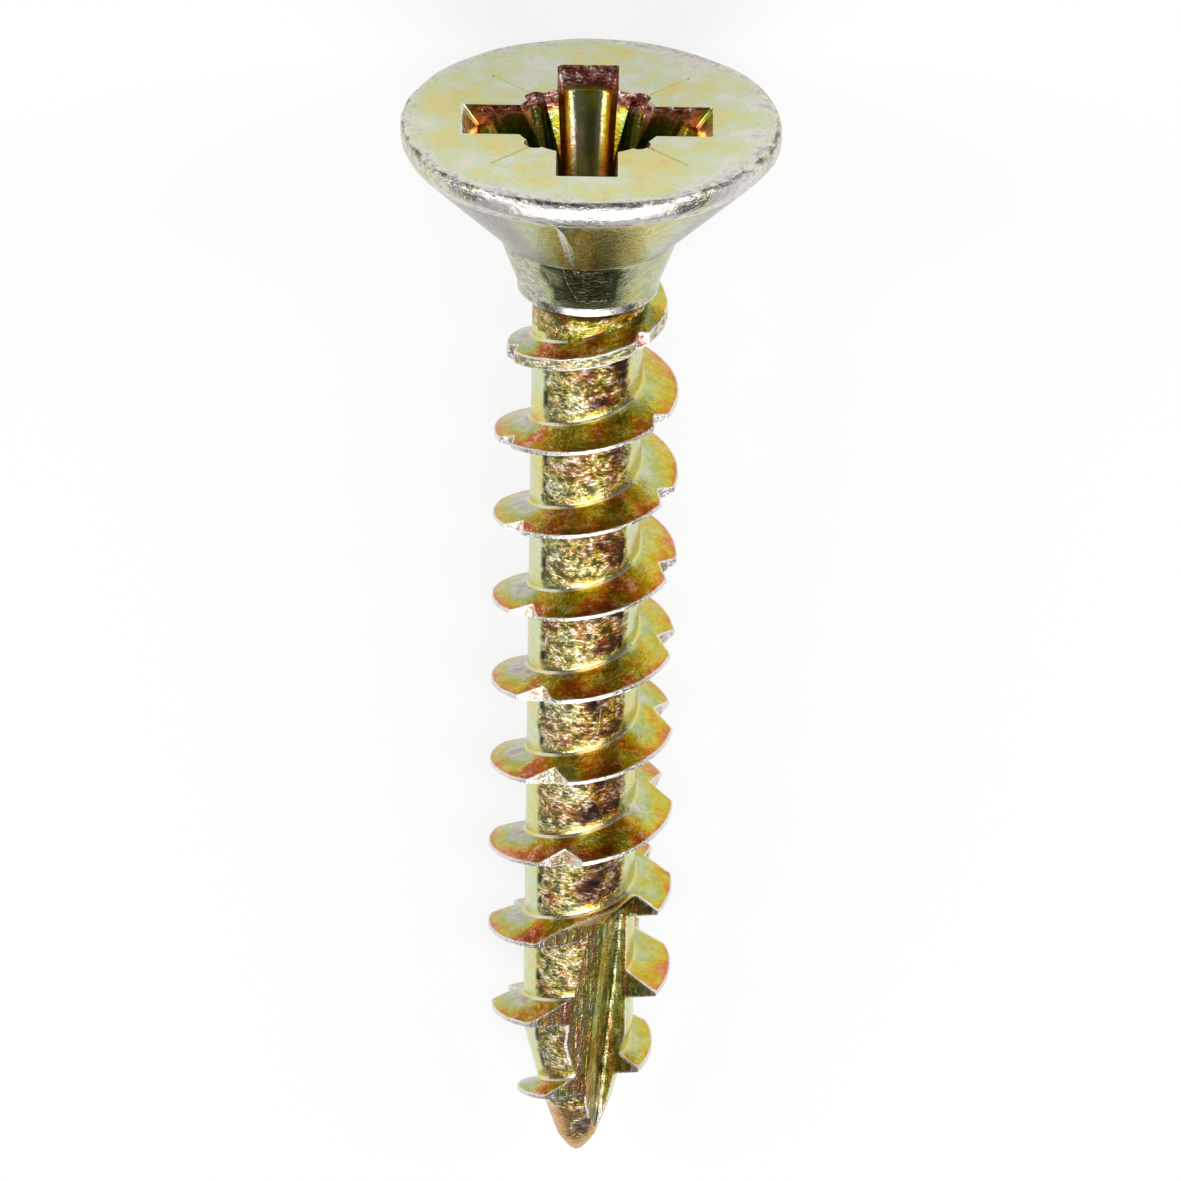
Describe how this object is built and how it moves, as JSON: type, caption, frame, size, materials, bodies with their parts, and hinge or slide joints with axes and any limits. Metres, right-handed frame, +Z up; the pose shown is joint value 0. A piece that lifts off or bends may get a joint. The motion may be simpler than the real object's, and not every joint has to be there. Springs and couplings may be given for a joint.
{
  "type": "countersunk wood screw",
  "caption": "Countersunk wood screw with cross recess, stiffened neck, coarse serrated right-hand thread and slotted cutting point, in yellow-passivated zinc plate.",
  "frame": {"origin": "centre of the bounding box at floor level, with the screw lying as it comes to rest", "axes": "+Y toward the head, +X across the screw, +Z up; the point end leans 6.1 degrees down"},
  "size_m": [0.008, 0.0248, 0.008],
  "materials": {
    "yellow_zinc": "yellow-passivated bright zinc on steel"
  },
  "bodies": {
    "root": {"wood_screw": "yellow_zinc"}
  },
  "joints": []
}
